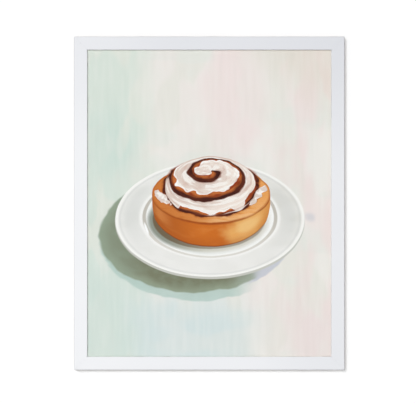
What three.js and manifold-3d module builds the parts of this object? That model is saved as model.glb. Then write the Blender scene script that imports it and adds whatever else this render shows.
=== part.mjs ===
// A framed art print, portrait, ready to hang on a wall.
//
// Four mitred wooden rails make the frame. A rebate inside them holds a stack of sheets: glass, print,
// foam-core mounting board and hardboard backing. Turn buttons on the back of the rails hold the stack in.
// A sawtooth hanger on the top rail hangs on a nail, and two bumpers keep the bottom edge off the wall.
//
// Millimetres. +X is right as seen from the front, +Z is up, and the picture faces -Y. The wall is the plane
// y = 0. The origin is the roof of the hanger's middle notch, where the wall's nail carries the frame.

import * as THREE from 'three';
import { mergeVertices } from 'three/addons/utils/BufferGeometryUtils.js';
import Module from 'manifold-3d';

// ---- Driving dimensions ----

const PRINT_WIDTH = 406.4; // a 16 by 20 inch sheet
const PRINT_HEIGHT = 508;
const LIP_OVERLAP = 6; // how far the frame's lip covers each edge of the print
const REBATE_PLAY = 1.6; // room between the edge of the print and the wall of the rebate
const RAIL_FACE = 21.5; // width of a rail seen from the front
const RAIL_DEPTH = 14;
const EASED_EDGE = 1.4; // radius of the rails' sanded outer edges
const EASED_LIP = 0.8; // radius of the front edge of the lip
const CORNER_RADIUS = 1.8; // sanding of the frame's four outer corners
const MITRE_GAP = 0.05; // half of the hairline between two rails

const GLASS_THICKNESS = 2;
const PRINT_THICKNESS = 0.4;
const FOAM_BOARD_THICKNESS = 5;
const BACKING_THICKNESS = 3;
const SHEET_GAP = 0.15; // air between two sheets of the stack
const BACKING_PLAY = 0.6; // room around the backing, which is cut a little larger than the print

const BUMPER_THICKNESS = 4;
const BUMPER_RADIUS = 4.75;

const TURN_BUTTON_THICKNESS = 1;
const TURN_BUTTON_ARM = 19; // from the screw to the centre of the rounded tip
const TURN_BUTTON_HEEL_RADIUS = 6.2;
const TURN_BUTTON_TIP_RADIUS = 4.2;

const SCREW_SHANK_RADIUS = 1.75;
const SCREW_HEAD_RADIUS = 3.5;
const SCREW_HEAD_HEIGHT = 1.5;
const SCREW_LENGTH = 10;

const HANGER_LENGTH = 44;
const HANGER_HEIGHT = 9;
const HANGER_THICKNESS = 0.9;
const HANGER_RISE = 1.7; // how far the toothed middle stands off from the end tabs
const NOTCH_PITCH = 3;
const NOTCH_DEPTH = 2;
const NOTCH_COUNT = 7;

const V_NAIL_LEG = 5;
const V_NAIL_THICKNESS = 0.7;
const V_NAIL_DEPTH = 10;
const V_NAIL_INSETS = [4.2, 9.4]; // distance of each V-nail's bend from the two outer edges

const CUT_CLEARANCE = 0.3; // gap between a fastener and the hole or slot it sits in
const REST_CLEARANCE = 0.2; // gap between two pieces that lie on each other

// ---- Sizes and places that follow ----

const rebateWidth = LIP_OVERLAP + REBATE_PLAY;
const wallWidth = RAIL_FACE - rebateWidth; // solid wood between the rebate and the outer edge
const sightWidth = PRINT_WIDTH - 2 * LIP_OVERLAP;
const sightHeight = PRINT_HEIGHT - 2 * LIP_OVERLAP;
const outerWidth = sightWidth + 2 * RAIL_FACE;
const outerHeight = sightHeight + 2 * RAIL_FACE;

const railBack = -BUMPER_THICKNESS;
const railFront = railBack - RAIL_DEPTH;
const backingBack = railBack - SHEET_GAP;
const backingFront = backingBack - BACKING_THICKNESS;
const foamBack = backingFront - SHEET_GAP;
const foamFront = foamBack - FOAM_BOARD_THICKNESS;
const printBack = foamFront - SHEET_GAP;
const printFront = printBack - PRINT_THICKNESS;
const glassBack = printFront - SHEET_GAP;
const glassFront = glassBack - GLASS_THICKNESS;
const rebateShoulder = glassFront - SHEET_GAP; // the back face of the lip

const hangerMargin = (wallWidth - HANGER_HEIGHT) / 2;
const hangerTop = HANGER_HEIGHT - NOTCH_DEPTH; // the plate's upper edge, above the notch roofs
const frameTop = hangerTop + hangerMargin;
const frameCentre = frameTop - outerHeight / 2;
const frameBottom = frameTop - outerHeight;

const buttonUnderside = railBack + REST_CLEARANCE;
const screwHeadUnderside = buttonUnderside + TURN_BUTTON_THICKNESS + REST_CLEARANCE;

// ---- Materials ----

const finish = (color, roughness, metalness = 0) =>
  new THREE.MeshStandardMaterial({ color, roughness, metalness });

const finishes = {
  whiteLacquer: () => finish(0xf4f4f5, 0.4),
  glass: () => new THREE.MeshStandardMaterial({
    color: 0xf4fbf8, roughness: 0.05, transparent: true, opacity: 0.25,
  }),
  artPaper: () => finish(0xdfe3dc, 0.85),
  foamBoard: () => finish(0xf2f1ec, 0.8),
  hardboard: () => finish(0x7b5a3e, 0.8),
  brightSteel: () => finish(0xc9cbcc, 0.35, 1),
  brassPlate: () => finish(0xc9a254, 0.35, 1),
  felt: () => finish(0xd9d7d2, 0.9),
};

// ---- Solids ----

const manifoldLibrary = await Module();
manifoldLibrary.setup();
const { Manifold, Mesh: ManifoldMesh } = manifoldLibrary;

function toSolid(geometry) {
  const bare = geometry.clone();
  bare.deleteAttribute('normal');
  bare.deleteAttribute('uv');
  const merged = mergeVertices(bare, 1e-4);
  return new Manifold(new ManifoldMesh({
    numProp: 3,
    vertProperties: new Float32Array(merged.attributes.position.array),
    triVerts: new Uint32Array(merged.index.array),
  }));
}

function toGeometry(solid) {
  const { vertProperties, triVerts } = solid.getMesh();
  const geometry = new THREE.BufferGeometry();
  geometry.setAttribute('position', new THREE.BufferAttribute(new Float32Array(vertProperties), 3));
  geometry.setIndex(new THREE.BufferAttribute(new Uint32Array(triVerts), 1));
  return geometry.toNonIndexed();
}

function cut(geometry, tools) {
  let solid = toSolid(geometry);
  for (const tool of tools) {
    solid = solid.subtract(toSolid(tool));
  }
  return toGeometry(solid);
}

// Extrudes an outline drawn in the wall's plane (x to the right, y up) from yFront back to yBack.
function extrudeFromWall(outline, yFront, yBack, options = {}) {
  const bevel = options.bevel ?? 0;
  const geometry = new THREE.ExtrudeGeometry(outline, {
    depth: yBack - yFront - 2 * bevel,
    bevelEnabled: bevel > 0,
    bevelThickness: bevel,
    bevelSize: bevel,
    bevelOffset: -bevel,
    bevelSegments: options.bevelSegments ?? 1,
    curveSegments: options.curveSegments ?? 6,
  });
  geometry.rotateX(Math.PI / 2);
  geometry.translate(0, yBack - bevel, 0);
  return geometry;
}

// Turns a profile of [radius, distance along +Y] points about the Y axis.
function turned(profile, segments) {
  const points = profile.map(([radius, along]) => new THREE.Vector2(radius, along));
  return new THREE.LatheGeometry(points, segments);
}

function roundedRectangle(width, height, radius) {
  const shape = new THREE.Shape();
  const x = width / 2 - radius;
  const z = height / 2 - radius;
  shape.absarc(x, z, radius, 0, Math.PI / 2);
  shape.absarc(-x, z, radius, Math.PI / 2, Math.PI);
  shape.absarc(-x, -z, radius, Math.PI, 1.5 * Math.PI);
  shape.absarc(x, -z, radius, 1.5 * Math.PI, 2 * Math.PI);
  shape.closePath();
  return shape;
}

const part = new THREE.Group();

function add(name, geometry, material, place = [0, 0, 0], turnAboutY = 0) {
  const mesh = new THREE.Mesh(geometry, material);
  mesh.name = name;
  mesh.position.set(...place);
  mesh.rotation.y = turnAboutY;
  part.add(mesh);
}

// ---- Rails ----
//
// Each rail is built lying along the X axis as the top rail of a frame of its own length: its outer edge is
// up, its lip points down, and its ends are mitred. A side rail is the same rail turned about Y.

// The L-shaped section. Across is measured from the outer edge towards the picture.
function railSection() {
  const section = new THREE.Shape();
  section.moveTo(0, railFront);
  section.lineTo(RAIL_FACE - EASED_LIP, railFront);
  section.absarc(RAIL_FACE - EASED_LIP, railFront + EASED_LIP, EASED_LIP, -Math.PI / 2, 0);
  section.lineTo(RAIL_FACE, rebateShoulder);
  section.lineTo(wallWidth, rebateShoulder);
  section.lineTo(wallWidth, railBack);
  section.lineTo(0, railBack);
  section.closePath();
  return section;
}

// Extrudes the section to unit length, then moves each end vertex out along the rail to its mitre plane.
function mitredRail(length, across) {
  const geometry = new THREE.ExtrudeGeometry(railSection(), {
    depth: 1,
    bevelEnabled: false,
    curveSegments: 4,
  });
  const position = geometry.attributes.position;
  for (let i = 0; i < position.count; i += 1) {
    const inset = position.getX(i);
    const end = position.getZ(i) > 0.5 ? 1 : -1;
    const along = end * (length / 2 - inset - MITRE_GAP);
    position.setXYZ(i, along, position.getY(i), across / 2 - inset);
  }
  geometry.computeVertexNormals();
  return geometry;
}

// The sanded outside of the whole frame: every rail is kept inside it.
function sandedOutside(width, height) {
  const outline = roundedRectangle(width, height, CORNER_RADIUS);
  return extrudeFromWall(outline, railFront, railBack, {
    bevel: EASED_EDGE,
    bevelSegments: 4,
    curveSegments: 6,
  });
}

// One V-nail seen from the back, at the upper right corner: its bend points at the corner, and its two legs
// run along the two rails.
function vNailOutline(halfThickness, legLength) {
  const shape = new THREE.Shape();
  shape.moveTo(halfThickness, halfThickness);
  shape.lineTo(-legLength, halfThickness);
  shape.lineTo(-legLength, -halfThickness);
  shape.lineTo(-halfThickness, -halfThickness);
  shape.lineTo(-halfThickness, -legLength);
  shape.lineTo(halfThickness, -legLength);
  shape.closePath();
  return shape;
}

function vNail(clearance) {
  const back = railBack - REST_CLEARANCE + clearance;
  const front = railBack - REST_CLEARANCE - V_NAIL_DEPTH - clearance;
  const outline = vNailOutline(V_NAIL_THICKNESS / 2 + clearance, V_NAIL_LEG + clearance);
  return extrudeFromWall(outline, front, back);
}

const corners = [
  { name: 'top_right', sideX: 1, sideZ: 1, turn: 0 },
  { name: 'bottom_right', sideX: 1, sideZ: -1, turn: Math.PI / 2 },
  { name: 'bottom_left', sideX: -1, sideZ: -1, turn: Math.PI },
  { name: 'top_left', sideX: -1, sideZ: 1, turn: -Math.PI / 2 },
];

// Places of the turn buttons along a rail, as shares of the rail's length from its middle.
const buttonShares = [-0.27, 0.27];
const screwInset = wallWidth / 2;

function pilotHole(x, z, radius, depth) {
  const hole = new THREE.CylinderGeometry(radius, radius, depth + 1, 20);
  hole.translate(x, railBack - depth / 2 + 0.5, z);
  return hole;
}

// Length runs along the rail. Across is the frame's other outer size, which says how far out the rail lies.
function rail(length, across, extraHoles) {
  const tools = [];
  for (const share of buttonShares) {
    const holeDepth = SCREW_LENGTH - (screwHeadUnderside - railBack) + CUT_CLEARANCE;
    tools.push(pilotHole(share * length, across / 2 - screwInset,
      SCREW_SHANK_RADIUS + CUT_CLEARANCE, holeDepth));
  }
  for (const inset of V_NAIL_INSETS) {
    for (const side of [1, -1]) {
      const slot = vNail(CUT_CLEARANCE);
      slot.rotateY(side > 0 ? 0 : -Math.PI / 2);
      slot.translate(side * (length / 2 - inset), 0, across / 2 - inset);
      tools.push(slot);
    }
  }
  tools.push(...extraHoles);
  const rough = toSolid(mitredRail(length, across));
  const sanded = rough.intersect(toSolid(sandedOutside(length, across)));
  return cut(toGeometry(sanded), tools);
}

const HANGER_NAIL = { shank: 0.8, head: 2.1, headHeight: 0.8, length: 10 };
const hangerNailX = HANGER_LENGTH / 2 - 3.6;
const hangerNailZ = hangerTop - HANGER_HEIGHT / 2;
const hangerTabBack = railBack + REST_CLEARANCE + HANGER_THICKNESS;
const hangerNailUnderside = hangerTabBack + REST_CLEARANCE;

const hangerHoles = [-1, 1].map((side) => pilotHole(
  side * hangerNailX,
  hangerNailZ - frameCentre,
  HANGER_NAIL.shank + CUT_CLEARANCE,
  HANGER_NAIL.length - (hangerNailUnderside - railBack) + CUT_CLEARANCE,
));

const centre = [0, 0, frameCentre];
add('top_rail', rail(outerWidth, outerHeight, hangerHoles), finishes.whiteLacquer(), centre);
add('bottom_rail', rail(outerWidth, outerHeight, []), finishes.whiteLacquer(), centre, Math.PI);
add('right_rail', rail(outerHeight, outerWidth, []), finishes.whiteLacquer(), centre, Math.PI / 2);
add('left_rail', rail(outerHeight, outerWidth, []), finishes.whiteLacquer(), centre, -Math.PI / 2);

for (const corner of corners) {
  V_NAIL_INSETS.forEach((inset, index) => {
    const x = corner.sideX * (outerWidth / 2 - inset);
    const z = frameCentre + corner.sideZ * (outerHeight / 2 - inset);
    const place = index === 0 ? 'outer' : 'inner';
    add(`v_nail_${corner.name}_${place}`, vNail(0), finishes.brightSteel(), [x, 0, z], corner.turn);
  });
}

// ---- The stack of sheets in the rebate ----

function sheet(name, width, height, yFront, yBack, material) {
  const geometry = new THREE.BoxGeometry(width, yBack - yFront, height);
  add(name, geometry, material, [0, (yFront + yBack) / 2, frameCentre]);
}

const backingWidth = PRINT_WIDTH + 2 * (REBATE_PLAY - BACKING_PLAY);
const backingHeight = PRINT_HEIGHT + 2 * (REBATE_PLAY - BACKING_PLAY);
sheet('glazing', PRINT_WIDTH, PRINT_HEIGHT, glassFront, glassBack, finishes.glass());
sheet('art_print', PRINT_WIDTH, PRINT_HEIGHT, printFront, printBack, finishes.artPaper());
sheet('foam_board', PRINT_WIDTH, PRINT_HEIGHT, foamFront, foamBack, finishes.foamBoard());
sheet('backing_board', backingWidth, backingHeight, backingFront, backingBack, finishes.hardboard());

// ---- Turn buttons and their screws ----

// A pressed steel tab with a round heel about the screw and a narrower round tip. The two straight edges are
// tangent to both rounds. The arm points down, over the backing, when the tab belongs to the top rail.
function turnButtonOutline() {
  const lean = Math.asin((TURN_BUTTON_HEEL_RADIUS - TURN_BUTTON_TIP_RADIUS) / TURN_BUTTON_ARM);
  const shape = new THREE.Shape();
  shape.absarc(0, 0, TURN_BUTTON_HEEL_RADIUS, -lean, Math.PI + lean);
  shape.absarc(0, -TURN_BUTTON_ARM, TURN_BUTTON_TIP_RADIUS, Math.PI + lean, 2 * Math.PI - lean);
  shape.closePath();
  const hole = new THREE.Path();
  hole.absarc(0, 0, SCREW_SHANK_RADIUS + CUT_CLEARANCE, 0, 2 * Math.PI, true);
  shape.holes.push(hole);
  return shape;
}

function turnButton() {
  return extrudeFromWall(
    turnButtonOutline(),
    buttonUnderside,
    buttonUnderside + TURN_BUTTON_THICKNESS,
    { curveSegments: 14 },
  );
}

// A wood screw with a domed pan head and a cross recess. The head's underside is at y = 0.
function screw() {
  const tip = -SCREW_LENGTH;
  const dome = [];
  const domeSteps = 5;
  for (let i = 0; i <= domeSteps; i += 1) {
    const angle = (i / domeSteps) * (Math.PI / 2);
    const radius = SCREW_HEAD_RADIUS * Math.cos(angle);
    dome.push([radius, SCREW_HEAD_HEIGHT * (0.35 + 0.65 * Math.sin(angle))]);
  }
  dome[domeSteps][0] = 0;
  const body = turned([
    [0, tip],
    [SCREW_SHANK_RADIUS, tip + 3],
    [SCREW_SHANK_RADIUS, 0],
    [SCREW_HEAD_RADIUS, 0],
    ...dome,
  ], 24);
  const recessDepth = 0.8;
  const blades = [0, Math.PI / 2].map((turn) => {
    const blade = new THREE.BoxGeometry(3.6, recessDepth + 1, 0.75);
    blade.rotateY(turn);
    blade.translate(0, SCREW_HEAD_HEIGHT - recessDepth + (recessDepth + 1) / 2, 0);
    return blade;
  });
  return cut(body, blades);
}

function addButtonAndScrew(label, x, z, turn) {
  add(`turn_button_${label}`, turnButton(), finishes.brightSteel(), [x, 0, z], turn);
  add(`screw_${label}`, screw(), finishes.brightSteel(), [x, screwHeadUnderside, z], turn);
}

const sideX = outerWidth / 2 - screwInset;
const sideZ = outerHeight / 2 - screwInset;
for (const share of buttonShares) {
  const acrossLabel = share < 0 ? 'left' : 'right';
  const x = share * outerWidth;
  addButtonAndScrew(`top_${acrossLabel}`, x, frameCentre + sideZ, 0);
  addButtonAndScrew(`bottom_${acrossLabel}`, x, frameCentre - sideZ, Math.PI);
  const upLabel = share < 0 ? 'lower' : 'upper';
  const z = frameCentre + share * outerHeight;
  addButtonAndScrew(`right_${upLabel}`, sideX, z, Math.PI / 2);
  addButtonAndScrew(`left_${upLabel}`, -sideX, z, -Math.PI / 2);
}

// ---- Sawtooth hanger and its nails ----

// The plate's edge seen from above: flat end tabs, and a middle that stands off from the rail.
function hangerBend() {
  const tabEnd = 14.5;
  const riseEnd = 12.5;
  const under = railBack + REST_CLEARANCE;
  const over = under + HANGER_THICKNESS;
  const end = HANGER_LENGTH / 2 + 1;
  const shape = new THREE.Shape();
  shape.moveTo(-end, under);
  shape.lineTo(-tabEnd, under);
  shape.lineTo(-riseEnd, under + HANGER_RISE);
  shape.lineTo(riseEnd, under + HANGER_RISE);
  shape.lineTo(tabEnd, under);
  shape.lineTo(end, under);
  shape.lineTo(end, over);
  shape.lineTo(tabEnd + 0.4, over);
  shape.lineTo(riseEnd + 0.4, over + HANGER_RISE);
  shape.lineTo(-riseEnd - 0.4, over + HANGER_RISE);
  shape.lineTo(-tabEnd - 0.4, over);
  shape.lineTo(-end, over);
  shape.closePath();
  const geometry = new THREE.ExtrudeGeometry(shape, { depth: HANGER_HEIGHT + 2, bevelEnabled: false });
  geometry.translate(0, 0, -NOTCH_DEPTH - 1);
  return geometry;
}

// The plate seen from the back: rounded ends, a hole in each tab, and the row of notches along the bottom.
function hangerOutline() {
  const halfLength = HANGER_LENGTH / 2;
  const round = 1.6;
  const low = -NOTCH_DEPTH;
  const shape = new THREE.Shape();
  shape.absarc(-halfLength + round, low + round, round, Math.PI, 1.5 * Math.PI);
  for (let i = 0; i < NOTCH_COUNT; i += 1) {
    const x = (i - (NOTCH_COUNT - 1) / 2) * NOTCH_PITCH;
    shape.lineTo(x - NOTCH_PITCH / 2, low);
    shape.lineTo(x, 0);
  }
  shape.lineTo((NOTCH_COUNT / 2) * NOTCH_PITCH, low);
  shape.absarc(halfLength - round, low + round, round, 1.5 * Math.PI, 2 * Math.PI);
  shape.absarc(halfLength - round, hangerTop - round, round, 0, Math.PI / 2);
  shape.absarc(-halfLength + round, hangerTop - round, round, Math.PI / 2, Math.PI);
  shape.closePath();
  for (const side of [-1, 1]) {
    const hole = new THREE.Path();
    hole.absarc(side * hangerNailX, hangerNailZ, HANGER_NAIL.shank + CUT_CLEARANCE, 0, 2 * Math.PI, true);
    shape.holes.push(hole);
  }
  return shape;
}

function hanger() {
  const plate = extrudeFromWall(hangerOutline(), railBack - 1, 1);
  return toGeometry(toSolid(hangerBend()).intersect(toSolid(plate)));
}

// A small round-headed nail. The head's underside is at y = 0.
function hangerNail() {
  const { shank, head, headHeight, length } = HANGER_NAIL;
  return turned([
    [0, -length],
    [shank, -length + 2],
    [shank, 0],
    [head, 0],
    [head, headHeight * 0.4],
    [head * 0.8, headHeight * 0.8],
    [head * 0.4, headHeight],
    [0, headHeight],
  ], 16);
}

add('sawtooth_hanger', hanger(), finishes.brassPlate());
for (const side of [-1, 1]) {
  const label = side < 0 ? 'left' : 'right';
  const place = [side * hangerNailX, hangerNailUnderside, hangerNailZ];
  add(`hanger_nail_${label}`, hangerNail(), finishes.brassPlate(), place);
}

// ---- Bumpers ----

// A round pad stuck to the back of the frame. Its flat back meets the wall at y = 0.
function bumper() {
  const edge = 0.5;
  const front = railBack + REST_CLEARANCE;
  return turned([
    [0, front],
    [BUMPER_RADIUS, front],
    [BUMPER_RADIUS, -edge],
    [BUMPER_RADIUS - edge, 0],
    [0, 0],
  ], 28);
}

const bumperInset = 34; // from the frame's side to the centre of a bumper
for (const side of [-1, 1]) {
  const label = side < 0 ? 'left' : 'right';
  const place = [side * (outerWidth / 2 - bumperInset), 0, frameBottom + wallWidth / 2];
  add(`bumper_${label}`, bumper(), finishes.felt(), place);
}

export default part;
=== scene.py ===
# %% [markdown]
# # A framed art print
#
# The object is a portrait print in a narrow white wooden frame, hanging on a wall. Its construction comes
# from a CAD model: four mitred rails, the stack of sheets in their rebate, and the hardware on the back.
# Here it gets its looks: lacquer, glass, a painted picture, hardboard and plated steel.
#
# The first cell loads the CAD model. Every later piece takes its place from it, so nothing has to be
# fitted.

# %% Load the CAD model
import math
import bmesh
import bpy
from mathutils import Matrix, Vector


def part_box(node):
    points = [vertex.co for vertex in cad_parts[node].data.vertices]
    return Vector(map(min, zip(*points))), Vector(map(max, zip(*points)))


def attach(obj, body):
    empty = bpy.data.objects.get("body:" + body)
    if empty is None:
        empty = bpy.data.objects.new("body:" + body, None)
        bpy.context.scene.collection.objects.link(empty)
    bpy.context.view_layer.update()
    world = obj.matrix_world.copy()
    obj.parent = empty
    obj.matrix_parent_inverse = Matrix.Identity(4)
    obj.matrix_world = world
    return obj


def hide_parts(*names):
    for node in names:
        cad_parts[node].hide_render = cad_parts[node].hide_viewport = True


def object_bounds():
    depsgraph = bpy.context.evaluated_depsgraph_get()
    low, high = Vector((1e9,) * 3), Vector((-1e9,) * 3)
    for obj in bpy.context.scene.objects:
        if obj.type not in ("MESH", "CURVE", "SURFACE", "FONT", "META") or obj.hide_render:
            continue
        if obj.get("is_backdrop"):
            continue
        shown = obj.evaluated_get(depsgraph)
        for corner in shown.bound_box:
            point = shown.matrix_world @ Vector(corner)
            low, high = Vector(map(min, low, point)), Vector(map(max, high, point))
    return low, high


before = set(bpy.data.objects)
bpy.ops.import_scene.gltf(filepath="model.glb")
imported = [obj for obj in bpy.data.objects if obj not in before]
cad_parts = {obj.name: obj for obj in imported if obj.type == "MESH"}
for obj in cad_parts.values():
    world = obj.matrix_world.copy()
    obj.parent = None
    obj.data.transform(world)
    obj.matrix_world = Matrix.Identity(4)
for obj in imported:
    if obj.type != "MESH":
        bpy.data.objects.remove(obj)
cad_low, cad_high = (Vector(corner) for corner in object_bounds())
size = cad_high - cad_low
middle = (cad_low + cad_high) / 2
print("frame, width by depth by height in mm:", [round(1000 * side, 1) for side in size])

# %% [markdown]
# ## The camera
#
# A framed picture is looked at straight on. A very long lens from about six metres keeps its edges
# parallel, so that the inner sides of the rails hardly show. A camera without perspective would hide them
# altogether. The view takes in a strip of wall round the frame, and the frame hangs a touch to the right of
# and below the middle of the view.

# %% Camera
LENS = 300
SENSOR_WIDTH = 36
VIEW_WIDTH = 0.6724  # metres across the view, measured at the frame's face
OFF_CENTRE_X = 0.0021  # how far the frame hangs to the right of the middle of the view
OFF_CENTRE_Z = 0.0028  # and how far below it
camera_data = bpy.data.cameras.new("camera")
camera_data.lens = LENS
camera_data.sensor_width = SENSOR_WIDTH
camera_distance = VIEW_WIDTH * LENS / SENSOR_WIDTH
camera = bpy.data.objects.new("camera", camera_data)
camera.location = (middle.x - OFF_CENTRE_X, cad_low.y - camera_distance, middle.z + OFF_CENTRE_Z)
camera.rotation_euler = (math.pi / 2, 0, 0)
bpy.context.scene.collection.objects.link(camera)
bpy.context.scene.camera = camera
print("camera distance in m:", round(camera_distance, 2))

# %% [markdown]
# ## Arithmetic on surfaces
#
# Most finishes below are sums: a soft noise plus a fine one, or a curve that says where one colour ends.
# Such sums are long to wire by hand, so two small classes write the nodes from ordinary Python arithmetic. A
# `Field` is the output of a node, such as a number that changes over the surface. Adding or multiplying two
# fields adds a Math node and gives its output.

# %% A field
class Field:
    """The output of a node, such as a number or a colour that changes over a surface."""

    def __init__(self, sketch, socket):
        self.sketch = sketch
        self.socket = socket

    def __add__(self, other):
        return self.sketch.math("ADD", self, other)

    def __sub__(self, other):
        return self.sketch.math("SUBTRACT", self, other)

    def __mul__(self, other):
        return self.sketch.math("MULTIPLY", self, other)

    def __truediv__(self, other):
        return self.sketch.math("DIVIDE", self, other)

    def __radd__(self, other):
        return self.sketch.math("ADD", other, self)

    def __rsub__(self, other):
        return self.sketch.math("SUBTRACT", other, self)

    def __rmul__(self, other):
        return self.sketch.math("MULTIPLY", other, self)


# %% [markdown]
# A `Sketch` adds the nodes to one tree. Besides arithmetic it has the few tools that most finishes need: a
# soft step, a mix of two colours, noise, and a bump. Its `put` feeds a socket either from a field or with a
# plain value, so that a formula may hold both.

# %% A sketch
class Sketch:
    """Adds nodes to one tree."""

    def __init__(self, tree):
        self.tree = tree

    def node(self, kind, **settings):
        made = self.tree.nodes.new(kind)
        for name, value in settings.items():
            setattr(made, name, value)
        return made

    def make(self, kind, sockets, output=0, **settings):
        """A node whose sockets are given by name, as a field of its output."""
        node = self.node(kind, **settings)
        for name, value in sockets.items():
            self.put(value, node.inputs[name])
        return Field(self, node.outputs[output])

    def put(self, value, socket):
        """Feeds a socket from a field, or sets it to a plain value."""
        if isinstance(value, Field):
            self.tree.links.new(value.socket, socket)
        else:
            socket.default_value = value

    def math(self, operation, *values):
        node = self.node("ShaderNodeMath", operation=operation)
        for value, socket in zip(values, node.inputs):
            self.put(value, socket)
        return Field(self, node.outputs[0])

    def step(self, value, start, end):
        """A soft step: 0 where value is start, 1 where it is end."""
        node = self.node("ShaderNodeMapRange", interpolation_type="SMOOTHSTEP")
        self.put(value, node.inputs["Value"])
        self.put(start, node.inputs["From Min"])
        self.put(end, node.inputs["From Max"])
        return Field(self, node.outputs["Result"])

    def mix(self, amount, under, over):
        """The colour under, covered with the colour over by amount."""
        node = self.node("ShaderNodeMix", data_type="RGBA")
        self.put(amount, node.inputs[0])
        self.put(under, node.inputs[6])
        self.put(over, node.inputs[7])
        return Field(self, node.outputs[2])

    def vector(self, x, y, z=0.0):
        node = self.node("ShaderNodeCombineXYZ")
        for value, socket in zip((x, y, z), node.inputs):
            self.put(value, socket)
        return Field(self, node.outputs[0])

    def parts(self, vector):
        node = self.node("ShaderNodeSeparateXYZ")
        self.put(vector, node.inputs[0])
        return [Field(self, output) for output in node.outputs]

    def scaled(self, vector, scale, shift=(0, 0, 0)):
        """A pattern's own coordinates: the place on the surface, moved and stretched along each axis."""
        node = self.node("ShaderNodeMapping")
        self.put(vector, node.inputs["Vector"])
        node.inputs["Location"].default_value = shift
        node.inputs["Scale"].default_value = scale
        return Field(self, node.outputs[0])

    def noise(self, vector, scale=1.0, detail=2.0, distortion=0.0):
        sockets = {"Vector": vector, "Scale": scale, "Detail": detail, "Distortion": distortion}
        return self.make("ShaderNodeTexNoise", sockets, output="Fac")

    def dabs(self, vector, softness):
        """A value of its own for each cell of an uneven grid, with soft borders between them."""
        cells = self.node("ShaderNodeTexVoronoi", feature="SMOOTH_F1")
        self.put(vector, cells.inputs["Vector"])
        cells.inputs["Scale"].default_value = 1.0
        cells.inputs["Smoothness"].default_value = softness
        return self.parts(Field(self, cells.outputs["Color"]))[0]

    def shaken(self, vector, scale, amount):
        """The place, moved about a little, as a hand's wobble moves the edge of a brush stroke."""
        noise = self.node("ShaderNodeTexNoise")
        self.put(vector, noise.inputs["Vector"])
        noise.inputs["Scale"].default_value = scale
        noise.inputs["Detail"].default_value = 1.5
        moved = self.node("ShaderNodeVectorMath", operation="MULTIPLY_ADD")
        self.tree.links.new(noise.outputs["Color"], moved.inputs[0])
        moved.inputs[1].default_value = (amount, amount, 0)
        start = self.node("ShaderNodeVectorMath", operation="SUBTRACT")
        self.put(vector, start.inputs[0])
        start.inputs[1].default_value = (amount / 2, amount / 2, 0)
        self.tree.links.new(start.outputs[0], moved.inputs[2])
        return Field(self, moved.outputs[0])

    def place(self):
        """The place on the piece, in metres."""
        node = self.node("ShaderNodeTexCoord")
        return Field(self, node.outputs["Object"])

    def facing(self):
        """The direction that the surface faces."""
        node = self.node("ShaderNodeNewGeometry")
        return Field(self, node.outputs["Normal"])

    def bump(self, height, strength, distance):
        node = self.node("ShaderNodeBump")
        node.inputs["Strength"].default_value = strength
        node.inputs["Distance"].default_value = distance
        self.put(height, node.inputs["Height"])
        return Field(self, node.outputs["Normal"])


# %% [markdown]
# Every finish starts in the same way, from a material with one Principled shader. Its colours are written
# as the six-figure codes that painting programs use. Those are screen values, and the shader wants amounts
# of light, so `tint` turns one into the other.

# %% Colours and materials
def tint(code):
    """A colour from its hexadecimal code, as light rather than as screen values."""
    values = [int(code[i:i + 2], 16) / 255 for i in (0, 2, 4)]
    light = [v / 12.92 if v <= 0.04045 else ((v + 0.055) / 1.055) ** 2.4 for v in values]
    return (*light, 1.0)


def new_finish(name):
    """A material with one Principled shader, with a sketch to wire it."""
    material = bpy.data.materials.new(name)
    material.use_nodes = True
    tree = material.node_tree
    tree.nodes.clear()
    output = tree.nodes.new("ShaderNodeOutputMaterial")
    shader = tree.nodes.new("ShaderNodeBsdfPrincipled")
    tree.links.new(shader.outputs[0], output.inputs["Surface"])
    return material, Sketch(tree), shader


def dress(node, material):
    """Gives a CAD node its finish."""
    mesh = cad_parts[node].data
    mesh.materials.clear()
    mesh.materials.append(material)


# %% [markdown]
# ## The room
#
# The frame hangs on a white wall, with a pale floor below. The wall is only a backdrop: it catches the
# frame's shadow, and it is clear from behind, so that the back of the frame can be looked at as well. The
# wall and the floor are flat sheets that glow by themselves, so that both stay nearly blank.

# %% Wall and floor
def backdrop(name, corners, color, see_through_back=False, glow=0.0):
    mesh = bpy.data.meshes.new(name)
    mesh.from_pydata(corners, [], [(0, 1, 2, 3)])
    plane = bpy.data.objects.new(name, mesh)
    bpy.context.scene.collection.objects.link(plane)
    material, sketch, shader = new_finish(name)
    shader.inputs["Base Color"].default_value = color
    shader.inputs["Roughness"].default_value = 0.9
    shader.inputs["Specular IOR Level"].default_value = 0.0
    shader.inputs["Emission Color"].default_value = (1, 1, 1, 1)
    shader.inputs["Emission Strength"].default_value = glow
    if see_through_back:
        back = sketch.node("ShaderNodeNewGeometry")
        clear = sketch.node("ShaderNodeBsdfTransparent")
        choose = sketch.node("ShaderNodeMixShader")
        output = shader.outputs[0].links[0].to_node
        sketch.tree.links.new(back.outputs["Backfacing"], choose.inputs[0])
        sketch.tree.links.new(shader.outputs[0], choose.inputs[1])
        sketch.tree.links.new(clear.outputs[0], choose.inputs[2])
        sketch.tree.links.new(choose.outputs[0], output.inputs["Surface"])
    mesh.materials.append(material)
    plane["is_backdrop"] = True
    return plane


WALL_REACH = 1.6
FLOOR_REACH = 4.0
FLOOR_DROP = 1.0  # from the frame's lowest point down to the floor
WALL_GAP = 0.0003  # keeps the wall clear of the bumpers
wall_y = cad_high.y + WALL_GAP
wall_top = middle.z + WALL_REACH
floor_z = cad_low.z - FLOOR_DROP
wall = backdrop(
    "wall",
    [(-WALL_REACH, wall_y, floor_z), (WALL_REACH, wall_y, floor_z),
     (WALL_REACH, wall_y, wall_top), (-WALL_REACH, wall_y, wall_top)],
    (0.97, 0.97, 0.97, 1),
    see_through_back=True,
    glow=0.04,
)
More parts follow.
